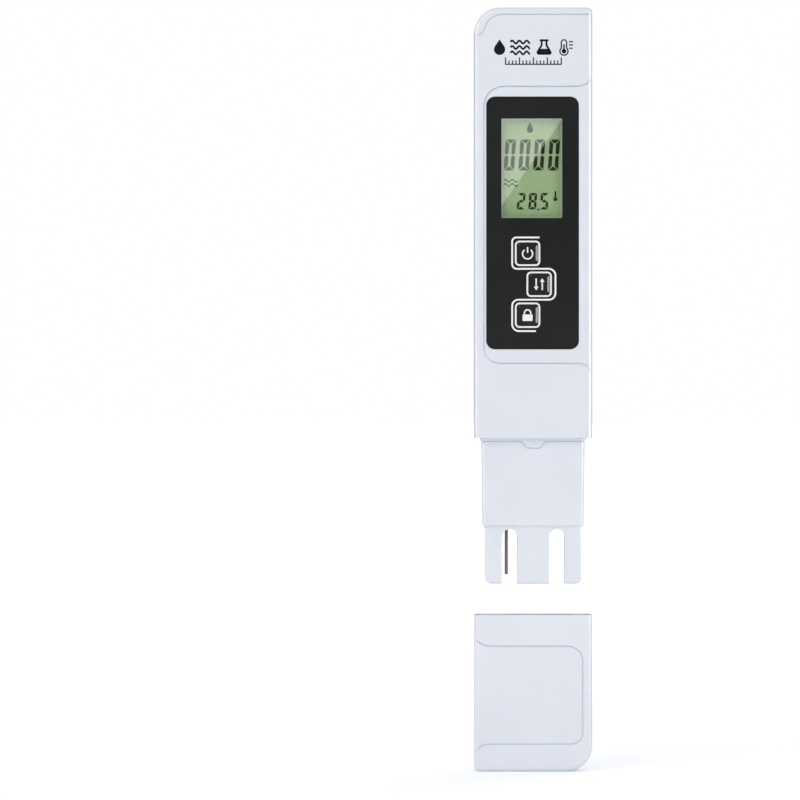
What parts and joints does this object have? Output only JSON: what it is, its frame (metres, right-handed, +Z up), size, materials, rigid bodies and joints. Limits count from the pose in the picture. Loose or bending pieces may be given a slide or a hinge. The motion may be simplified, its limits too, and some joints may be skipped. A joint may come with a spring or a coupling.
{
  "type": "handheld water quality tester",
  "caption": "Pen-shaped digital water tester with a forked probe, an upright LCD, push keys, a sliding battery door and a loose protective cap.",
  "frame": {"origin": "middle of the end face of the probe's centre tine, the lowest face of the pen with its cap off", "axes": "+Z up the pen from the probe's tip to the top, -Y towards the display side, +X to the right as the display is read"},
  "size_m": [0.0306, 0.014, 0.1976],
  "materials": {
    "white_abs": "satin white moulding, fine grain",
    "black_panel": "black printed overlay",
    "black_keys": "glossy black moulding",
    "clear_window": "clear polished plastic",
    "lcd_glass": "thin polished glass",
    "lcd_back": "grey-green reflector film",
    "lcd_ink": "dark segments",
    "white_frame": "plain white moulding",
    "black_rubber": "matt elastomer",
    "green_board": "solder mask",
    "black_epoxy": "cured resin",
    "board_parts": "ceramic and tin",
    "steel": "plain steel",
    "cell_steel": "bright nickel plate",
    "spring_steel": "nickel plate",
    "black_abs": "plain black moulding",
    "probe_steel": "dull stainless steel",
    "red_wire": "PVC insulation"
  },
  "bodies": {
    "pen": {"front_shell": "white_abs", "rear_shell": "white_abs", "battery_holder": "black_abs", "button_cell_left": "cell_steel", "button_cell_right": "cell_steel", "positive_contact": "spring_steel", "negative_contact": "spring_steel", "battery_leads": "red_wire", "case_screws": "steel", "display_panel": "black_panel", "display_window": "clear_window", "lcd_front_glass": "lcd_glass", "lcd_rear_glass": "lcd_glass", "lcd_reflector": "lcd_back", "lcd_segments": "lcd_ink", "lcd_frame": "white_frame", "contact_strips": "black_rubber", "circuit_board": "green_board", "controller_chip": "black_epoxy", "board_parts": "board_parts", "board_screws": "steel", "switch_bases": "black_abs", "probe_housing": "white_abs", "neck_seal": "black_rubber", "front_electrode": "probe_steel", "rear_electrode": "probe_steel", "thermistor": "black_epoxy", "potting_plug": "black_epoxy", "probe_leads": "red_wire"},
    "power_button": {"power_key": "black_keys", "power_plunger": "white_frame"},
    "shift_button": {"shift_key": "black_keys", "shift_plunger": "white_frame"},
    "hold_button": {"hold_key": "black_keys", "hold_plunger": "white_frame"},
    "door": {"battery_door": "white_abs", "door_bridge_contact": "spring_steel"},
    "cap": {"cap": "white_abs"}
  },
  "joints": [
    {"name": "power_press", "type": "slide", "parent": "pen", "child": "power_button", "axis": [0, 1, 0], "range_m": [0, 0.0004], "stiffness_N_per_m": 2000},
    {"name": "shift_press", "type": "slide", "parent": "pen", "child": "shift_button", "axis": [0, 1, 0], "range_m": [0, 0.0004], "stiffness_N_per_m": 2000},
    {"name": "hold_press", "type": "slide", "parent": "pen", "child": "hold_button", "axis": [0, 1, 0], "range_m": [0, 0.0004], "stiffness_N_per_m": 2000},
    {"name": "door_slide", "type": "slide", "parent": "pen", "child": "door", "axis": [0, 0, 1], "range_m": [0, 0.024]},
    {"name": "cap_slide", "type": "slide", "parent": "pen", "child": "cap", "axis": [0, 0, 1], "range_m": [0, 0.04565]}
  ]
}
